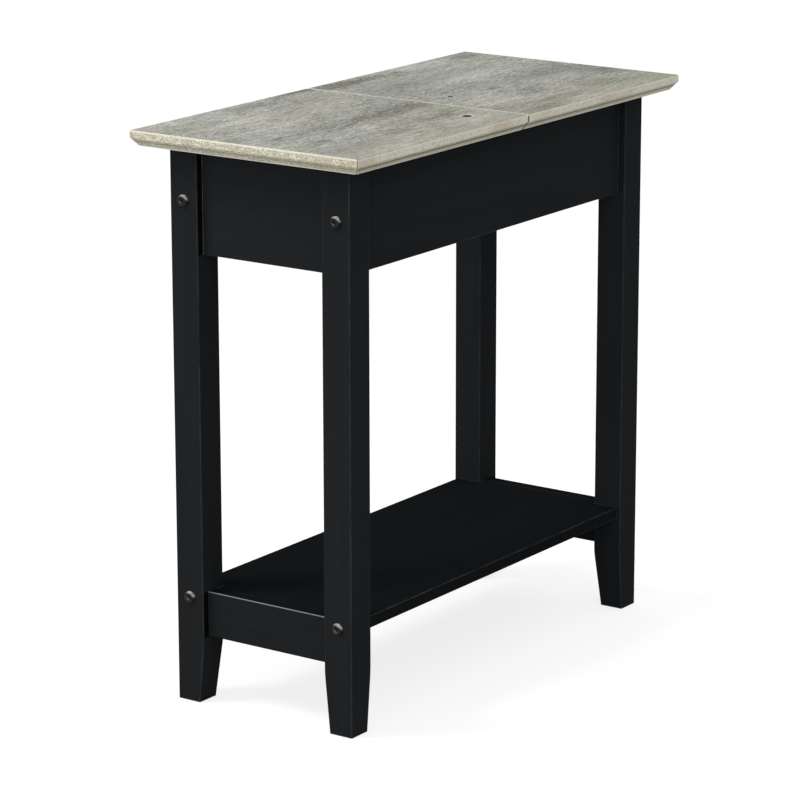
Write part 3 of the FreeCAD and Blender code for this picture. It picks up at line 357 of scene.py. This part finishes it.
def make_strip(name, along, bevel_darkening, painted_light_lift, speckle):
    """Edge strip: painted highlights on the top arris, the lower arris and beside the mitres, a
    painted shade line in the step, a darkened bevel, dark mitre joints and seam ends.
    """
    material, graph, surface = new_material(name)
    place = graph.place()
    colour, height = cream(graph, place, along, painted_light_lift, speckle)
    parts = graph.axes(place)
    uneven = graph.noise(graph.stretched(place, (70.0, 70.0, 70.0)), 1.0, 3.0, 0.6)
    down = graph.add(graph.math("SUBTRACT", TOP, parts["Z"]), graph.times(uneven, 0.001), -0.0005)
    # Painted highlight along the top arris.
    arris = graph.ramp(down, *ARRIS_ENDS)
    colour = graph.mix(graph.times(arris, 0.45), colour, CREAM_LIGHT)
    # The bevel is darkened, most just below the step and less towards its foot; how strongly each
    # strip gets it, far more along the sides, is painted shade.
    bevel = graph.add(graph.times(graph.ramp(down, *GLAZE_STARTS), 0.3),
                      graph.times(graph.ramp(down, *GLAZE_DEEPENS), 0.7))
    fading = graph.add(0.33, graph.times(graph.ramp(down, *GLAZE_FADES), 0.67))
    colour = graph.mix(graph.times(bevel, fading, bevel_darkening), colour, BEVEL_DARK)
    # Painted shade: a dark line in the step below the band.
    step = graph.times(graph.ramp(down, *STEP_STARTS), graph.ramp(down, *STEP_ENDS))
    colour = graph.mix(graph.times(step, graph.ramp(uneven, 0.35, 0.65), 0.5), colour, JOINT_DIRT_AND_SHADE)
    # Painted highlight along the lower arris.
    lower_arris = graph.times(graph.ramp(down, *LOWER_ARRIS_STARTS),
                              graph.ramp(down, *LOWER_ARRIS_ENDS))
    colour = graph.mix(lower_arris, colour, CREAM_LIGHT)
    across = graph.math("ABSOLUTE", parts["X"])
    inward = graph.math("SUBTRACT", TOP_HALF_LENGTH, across)
    sideways = graph.math("SUBTRACT", TOP_HALF_WIDTH, graph.math("ABSOLUTE", parts["Y"]))
    off_mitre = graph.math("ABSOLUTE", graph.math("SUBTRACT", inward, sideways))
    # Painted highlight beside each mitre; the mitre line itself, next, is a dark joint.
    beside_mitre = graph.ramp(off_mitre, 0.0024, 0.0014)
    colour = graph.mix(graph.times(beside_mitre, 0.5), colour, CREAM_LIGHT)
    colour = graph.mix(graph.times(graph.ramp(off_mitre, 0.0007, 0.0003), 0.9), colour, JOINT_DIRT_AND_SHADE)
    seam_end = graph.ramp(across, SEAM_FACE + 0.0003, SEAM_FACE + 0.0001)
    colour = graph.mix(seam_end, colour, JOINT_DIRT_AND_SHADE)
    finish_surface(graph, surface, Base_Color=colour, Specular_IOR_Level=0.3,
                   Roughness=graph.add(0.4, graph.times(height, 0.1)),
                   Normal=graph.bump(height, 0.35, 0.0002))
    return material


def make_board(name):
    """Core board: raw chips and fibre, black paint below."""
    material, graph, surface = new_material(name)
    place = graph.place()
    chips = graph.noise(graph.stretched(place, (900.0, 500.0, 900.0)), 1.0, 3.0, 0.6)
    brush = graph.noise(graph.stretched(place, (20.0, 500.0, 500.0)), 1.0, 4.0, 0.6)
    raw = graph.mix(graph.ramp(chips, 0.35, 0.65), RAW_BOARD, RAW_CHIPS)
    paint = graph.mix(graph.ramp(brush, 0.4, 0.7), BLACK, BLACK_THIN)
    below = graph.ramp(graph.axes(place)["Z"], UNDERSIDE + 0.0012, UNDERSIDE + 0.0006)
    finish_surface(graph, surface, Base_Color=graph.mix(below, raw, paint),
                   Specular_IOR_Level=0.05, Roughness=graph.add(0.5, graph.times(brush, 0.12)),
                   Normal=graph.bump(graph.add(chips, brush), 0.2, 0.0002))
    return material


def in_joint(graph, parts):
    """1 on the strip of a leg's inner face that stands out past an apron or a rail, which is
    painted near black there as shade in the recess.
    """
    out = graph.math("ABSOLUTE", parts["X"])
    past_rail = graph.times(graph.ramp(out, -RAIL_FACE - 0.0006, -RAIL_FACE + 0.0002),
                            graph.ramp(out, -LEG_FACE - 0.0010, -LEG_FACE - 0.0020))
    inner = graph.ramp(graph.math("ABSOLUTE", parts["Y"]), LEG_INNER + 0.0006, LEG_INNER + 0.0002)
    at_rail = graph.times(graph.ramp(parts["Z"], RAIL_FOOT - 0.0005, RAIL_FOOT + 0.0005),
                          graph.ramp(parts["Z"], RAIL_TOP + 0.0005, RAIL_TOP - 0.0005))
    at_apron = graph.ramp(parts["Z"], APRON_FOOT - 0.0005, APRON_FOOT + 0.0005)
    return graph.times(past_rail, inner, graph.add(at_rail, at_apron))


def make_black(name, along, specular=0.003, roughness=0.42, edge_wear_and_highlight=0.8, depth=1.0, top_depth=1.0,
               front_rail_highlight=False, wear_and_highlight_between_rails=False):
    """Satin black paint on wood: faint grain along one axis, lighter at the edges, partly scuffed
    paint and partly painted highlight.

    depth below 1 darkens the black as painted shade, as on the shelf, and top_depth does the same
    for the rails' top faces.
    The between-rails flag keeps the light edges, scuffs and painted highlight alike, to the
    shelf's edges that stand clear of the end rails.
    wear_and_highlight_between_rails keeps the wear to the shelf's edges that stand clear of the
    end rails.
    """
    material, graph, surface = new_material(name)
    place = graph.place()
    stretch = [420.0, 420.0, 420.0]
    stretch[along] = 14.0
    grain = graph.noise(graph.stretched(place, tuple(stretch)), 1.0, 4.0, 0.6, 0.3)
    stretch = [60.0, 60.0, 60.0]
    stretch[along] = 5.0
    cloud = graph.noise(graph.stretched(place, tuple(stretch)), 1.0, 3.0, 0.55)
    peel = graph.noise(graph.stretched(place, (700.0, 700.0, 700.0)), 1.0, 2.0, 0.5)

    soft = graph.node("ShaderNodeBevel", {"samples": 6}, Radius=0.0015).outputs[0]
    true = graph.node("ShaderNodeNewGeometry").outputs["Normal"]
    aligned = graph.node("ShaderNodeVectorMath", {"operation": "DOT_PRODUCT"})
    graph.feed(aligned, "0", soft)
    graph.feed(aligned, "1", true)
    edge = graph.ramp(aligned.outputs["Value"], 0.995, 0.9)
    patches = graph.noise(graph.stretched(place, (45.0, 45.0, 45.0)), 1.0, 4.0, 0.7)
    parts = graph.axes(place)
    # Lighter edges: partly scuffed paint, partly painted highlight.
    worn_and_highlit = graph.times(edge, graph.ramp(patches, 0.2, 0.7), edge_wear_and_highlight)
    if wear_and_highlight_between_rails:
        out = graph.math("ABSOLUTE", parts["X"])
        worn_and_highlit = graph.times(worn_and_highlit, graph.ramp(out, -RAIL_BACK, -RAIL_BACK - 0.001))

    # A depth below 1 darkens the whole black as painted shade.
    base = tuple(value * depth for value in BLACK)
    thin = tuple(value * depth for value in BLACK_THIN)
    colour = graph.mix(graph.times(graph.ramp(cloud, 0.4, 0.7), 0.3), base, thin)
    colour = graph.mix(graph.times(graph.ramp(grain, 0.5, 0.72), 0.25), colour, thin)
    # Darker rail top faces: painted shade.
    if top_depth < depth:
        top = graph.ramp(parts["Z"], RAIL_TOP - 0.0004, RAIL_TOP - 0.0001)
        colour = graph.mix(top, colour, tuple(value * top_depth for value in BLACK))
    if along == ALONG_Z:
        # Painted shade: the leg's face in the recess beside an apron or a rail is made near black.
        colour = graph.mix(graph.times(in_joint(graph, parts), 0.75), colour, RECESS_SHADE_BLACK)
    colour = graph.mix(worn_and_highlit, colour, BLACK_WORN_AND_HIGHLIT)
    # Painted highlight line along the front rail's upper outer edge.
    if front_rail_highlight:
        high = graph.ramp(parts["Z"], RAIL_TOP - 0.0011, RAIL_TOP - 0.0006)
        outer = graph.ramp(parts["X"], RAIL_FACE + 0.0015, RAIL_FACE + 0.0009)
        highlight_patch = graph.times(high, outer, graph.ramp(patches, 0.1, 0.5))
        colour = graph.mix(highlight_patch, colour, BLACK_HIGHLIGHT)
    height = graph.add(grain, graph.times(peel, 0.3))
    finish_surface(graph, surface, Base_Color=colour, Specular_IOR_Level=specular,
                   Roughness=graph.add(roughness - 0.05, graph.times(grain, 0.1)),
                   Normal=graph.bump(height, 0.12, 0.0002))
    return material


def make_metal(name, colour, dark, roughness, metallic):
    """Plated or blackened steel with fine rolling marks and duller patches."""
    material, graph, surface = new_material(name)
    place = graph.place()
    lines = graph.noise(graph.stretched(place, (300.0, 2600.0, 2600.0)), 1.0, 3.0, 0.6)
    patches = graph.noise(graph.stretched(place, (220.0, 220.0, 220.0)), 1.0, 3.0, 0.6)
    shade = graph.mix(graph.ramp(patches, 0.35, 0.7), colour, dark)
    finish_surface(graph, surface, Base_Color=shade, Metallic=metallic,
                   Specular_IOR_Level=0.5,
                   Roughness=graph.add(roughness, graph.times(lines, 0.12)),
                   Normal=graph.bump(lines, 0.1, 0.0001))
    return material


def make_bolt(name):
    """Black oxide, with a painted highlight of bright steel on the upper, -Y side of the round
    heads.
    """
    material, graph, surface = new_material(name)
    place = graph.place()
    normal = graph.node("ShaderNodeTexCoord").outputs["Normal"]
    patches = graph.noise(graph.stretched(place, (500.0, 500.0, 500.0)), 1.0, 3.0, 0.6)
    turning = graph.noise(graph.stretched(place, (2600.0, 900.0, 900.0)), 1.0, 2.0, 0.5)
    facing = graph.axes(normal)
    upward = graph.ramp(graph.add(facing["Z"], graph.times(facing["Y"], -0.35)), 0.3, 0.75)
    # Painted highlight: bright steel on the upward, -Y facing part of the heads.
    highlight_patch = graph.times(upward, graph.ramp(patches, 0.2, 0.6), 0.9)
    oxide = graph.mix(graph.ramp(patches, 0.35, 0.7), OXIDE, OXIDE_DARK)
    finish_surface(graph, surface, Base_Color=graph.mix(highlight_patch, oxide, STEEL_HIGHLIGHT),
                   Specular_IOR_Level=0.12, Roughness=graph.add(0.24, graph.times(turning, 0.1)),
                   Normal=graph.bump(turning, 0.1, 0.0001))
    return material


def make_beech(name):
    """Raw dowel wood."""
    material, graph, surface = new_material(name)
    place = graph.place()
    grain = graph.noise(graph.stretched(place, (60.0, 700.0, 700.0)), 1.0, 4.0, 0.6)
    colour = graph.mix(graph.ramp(grain, 0.35, 0.65), BEECH, BEECH_PALE)
    finish_surface(graph, surface, Base_Color=colour, Roughness=0.7,
                   Normal=graph.bump(grain, 0.2, 0.0002))
    return material


# Places in the decor: x, y, half length, half width (m) and how much darker. Below 0 is lighter.
LID_MARKS = [
    (-0.140, -0.016, 0.220, 0.022, 0.20),
    (-0.060, -0.014, 0.110, 0.028, 0.16),
    (-0.030, -0.0425, 0.036, 0.0032, 0.75),
    (-0.070, -0.064, 0.080, 0.024, 0.30),
    (-0.150, -0.088, 0.050, 0.026, 0.22),
    (-0.255, -0.055, 0.030, 0.012, 0.26),
    (-0.256, -0.013, 0.012, 0.005, 0.40),
    (-0.138, -0.105, 0.007, 0.003, 0.50),
    (-0.084, -0.010, 0.007, 0.003, 0.30),
    (-0.240, -0.100, 0.090, 0.030, 0.26),
    (-0.110, 0.124, 0.085, 0.018, 0.24),
    (-0.035, 0.138, 0.050, 0.010, 0.45),
    (-0.210, 0.128, 0.075, 0.022, -0.26),
    (-0.210, 0.078, 0.110, 0.014, -0.22),
    (-0.220, 0.035, 0.110, 0.016, -0.14),
    (-0.230, -0.134, 0.070, 0.010, -0.18),
    (-0.045, -0.110, 0.060, 0.026, -0.18),
]
REAR_MARKS = [
    (0.040, 0.125, 0.085, 0.024, 0.55),
    (0.040, 0.060, 0.060, 0.050, 0.18),
    (0.125, 0.118, 0.050, 0.014, 0.22),
    (0.275, 0.122, 0.035, 0.014, 0.28),
    (0.118, -0.020, 0.022, 0.007, 0.40),
    (0.245, -0.012, 0.100, 0.024, 0.34),
    (0.290, -0.050, 0.040, 0.040, 0.30),
    (0.125, -0.064, 0.045, 0.020, 0.26),
    (0.225, -0.094, 0.060, 0.030, 0.28),
    (0.120, -0.110, 0.070, 0.014, 0.30),
    (0.040, -0.132, 0.070, 0.018, 0.34),
    (0.259, -0.110, 0.008, 0.004, 0.50),
    (0.195, 0.128, 0.065, 0.026, -0.36),
    (0.180, 0.045, 0.110, 0.026, -0.24),
    (0.055, -0.060, 0.075, 0.034, -0.20),
    (0.145, -0.136, 0.040, 0.012, -0.22),
]
# Knots: x, y and radius (m).
LID_KNOTS = [(-0.0438, -0.0952, 0.0048)]
REAR_KNOTS = [(0.0434, -0.0152, 0.0030)]


def dress(name, material):
    data = nodes[name].data
    data.materials.clear()
    data.materials.append(material)


def dress_table():
    dress("flip_top_laminate", make_laminate("lid_decor", 1.0, LID_MARKS, LID_KNOTS))
    dress("rear_top_laminate", make_laminate("rear_decor", 4.0, REAR_MARKS, REAR_KNOTS))
    board = make_board("board")
    dress("flip_top_board", board)
    dress("rear_top_board", board)
    end_strip = make_strip("end_strip", ALONG_Y, bevel_darkening=0.36, painted_light_lift=0.0, speckle=1.1)
    side_strip = make_strip("side_strip", ALONG_X, bevel_darkening=0.92, painted_light_lift=0.95, speckle=0.45)
    upright = make_black("black_upright", ALONG_Z)
    long_rail = make_black("black_long", ALONG_X)
    short_rail = make_black("black_short", ALONG_Y)
    # The shelf and the rails' top faces are darker than the legs' black: painted shade.
    panel = make_black("black_panel", ALONG_X, specular=0.0, roughness=0.5, depth=0.6,
                       wear_and_highlight_between_rails=True)
    rail = make_black("black_rail", ALONG_Y, specular=0.0, edge_wear_and_highlight=0.1, top_depth=0.6)
    highlit_rail = make_black("highlit_rail", ALONG_Y, specular=0.0, edge_wear_and_highlight=0.1, top_depth=0.6,
                             front_rail_highlight=True)
    box_panel = make_black("box_panel", ALONG_X, specular=0.02, roughness=0.6, edge_wear_and_highlight=0.2)
    zinc = make_metal("zinc", ZINC, ZINC_DULL, roughness=0.3, metallic=1.0)
    bolt = make_bolt("bolt")
    beech = make_beech("beech")
    for end in ("flip_top", "rear_top"):
        dress(f"{end}_end_strip", end_strip)
        dress(f"{end}_left_strip", side_strip)
        dress(f"{end}_right_strip", side_strip)
    for end in ("front", "rear"):
        for side in ("left", "right"):
            dress(f"{end}_{side}_leg", upright)
        dress(f"{end}_apron", short_rail)
    for side in ("left", "right"):
        dress(f"{side}_apron", long_rail)
        for piece in ("lid_leaf", "fixed_leaf", "pin"):
            dress(f"{side}_hinge_{piece}", zinc)
    dress("front_lower_rail", highlit_rail)
    dress("rear_lower_rail", rail)
    dress("lower_shelf", panel)
    dress("storage_floor", box_panel)
    dress("storage_divider", box_panel)
    for name in ("apron_bolts", "shelf_bolts"):
        dress(name, bolt)
    for name in ("hinge_lid_screws", "hinge_fixed_screws", "apron_barrel_nuts",
                 "shelf_barrel_nuts", "top_brackets", "top_bracket_screws"):
        dress(name, zinc)
    for name in ("side_apron_dowels", "end_apron_dowels", "lower_rail_dowels"):
        dress(name, beech)


# ---------------------------------------------------------------------------
# Floor, world and lamps
# ---------------------------------------------------------------------------

FLOOR_RADIUS = 30.0
FLOOR_LEVEL = -0.0002       # a hair below the feet, so that no two faces share a plane
FLOOR_DIFFUSE = 0.6
SHADOW_SHARE = 0.4          # how much of the floor's seen tone the light makes
AMBIENT = 0.58              # strength of the world's light
LAMP_TARGET = (0.0, 0.0, 0.35)


def seen_directly(graph):
    """1 for rays that show the background: from the camera, in metal and through glass."""
    path = graph.node("ShaderNodeLightPath").outputs
    seen = graph.math("MAXIMUM", path["Is Camera Ray"], path["Is Glossy Ray"])
    return graph.math("MAXIMUM", seen, path["Is Transmission Ray"])


def make_floor():
    """White floor that keeps a soft shadow. It is clear from below, to show the underside."""
    mesh = bpy.data.meshes.new("floor")
    corners = [(-1, -1), (1, -1), (1, 1), (-1, 1)]
    points = [(x * FLOOR_RADIUS, y * FLOOR_RADIUS, FLOOR_LEVEL) for x, y in corners]
    mesh.from_pydata(points, [], [(0, 1, 2, 3)])
    floor = bpy.data.objects.new("floor", mesh)
    scene.collection.objects.link(floor)
    material = bpy.data.materials.new("floor")
    material.use_nodes = True
    graph = Graph(material.node_tree)
    seen = seen_directly(graph)
    lit = graph.mix(seen, (FLOOR_DIFFUSE,) * 3, (SHADOW_SHARE,) * 3)
    diffuse = graph.node("ShaderNodeBsdfDiffuse", Color=lit)
    glow = graph.node("ShaderNodeEmission", Color=(1.0, 1.0, 1.0),
                      Strength=graph.times(seen, 1.0 - SHADOW_SHARE * AMBIENT))
    both = graph.node("ShaderNodeAddShader")
    graph.feed(both, "0", diffuse.outputs[0])
    graph.feed(both, "1", glow.outputs[0])
    beneath = graph.node("ShaderNodeNewGeometry").outputs["Backfacing"]
    clear = graph.node("ShaderNodeBsdfTransparent")
    one_sided = graph.node("ShaderNodeMixShader")
    graph.feed(one_sided, "0", beneath)
    graph.feed(one_sided, "1", both.outputs[0])
    graph.feed(one_sided, "2", clear.outputs[0])
    output = graph.node("ShaderNodeOutputMaterial")
    graph.feed(output, "Surface", one_sided.outputs[0])
    mesh.materials.append(material)


def make_world():
    world = bpy.data.worlds.new("world")
    scene.world = world
    world.use_nodes = True
    graph = Graph(world.node_tree)
    seen = seen_directly(graph)
    strength = graph.add(AMBIENT, graph.times(seen, 1.0 - AMBIENT))
    background = graph.node("ShaderNodeBackground", Color=(1.0, 1.0, 1.0), Strength=strength)
    output = graph.node("ShaderNodeOutputWorld")
    graph.feed(output, "Surface", background.outputs[0])


def make_lamp(name, place, size, power):
    data = bpy.data.lights.new(name, "AREA")
    data.shape = "RECTANGLE"
    data.size, data.size_y = size
    data.energy = power
    lamp = bpy.data.objects.new(name, data)
    scene.collection.objects.link(lamp)
    lamp.location = place
    aim = Vector(LAMP_TARGET) - Vector(place)
    lamp.rotation_mode = "QUATERNION"
    lamp.rotation_quaternion = aim.to_track_quat("-Z", "Y")
    lamp.visible_camera = False


def make_lamps():
    make_lamp("key", place=(-1.35, 1.25, 2.3), size=(0.7, 0.7), power=26.0)
    make_lamp("front", place=(-2.7, -0.3, 0.6), size=(1.8, 0.8), power=11.0)
    make_lamp("fill", place=(-1.1, -2.0, 2.6), size=(1.6, 1.2), power=8.0)


make_camera()
dress_table()
make_floor()
make_world()
make_lamps()
scene.view_settings.view_transform = "Standard"
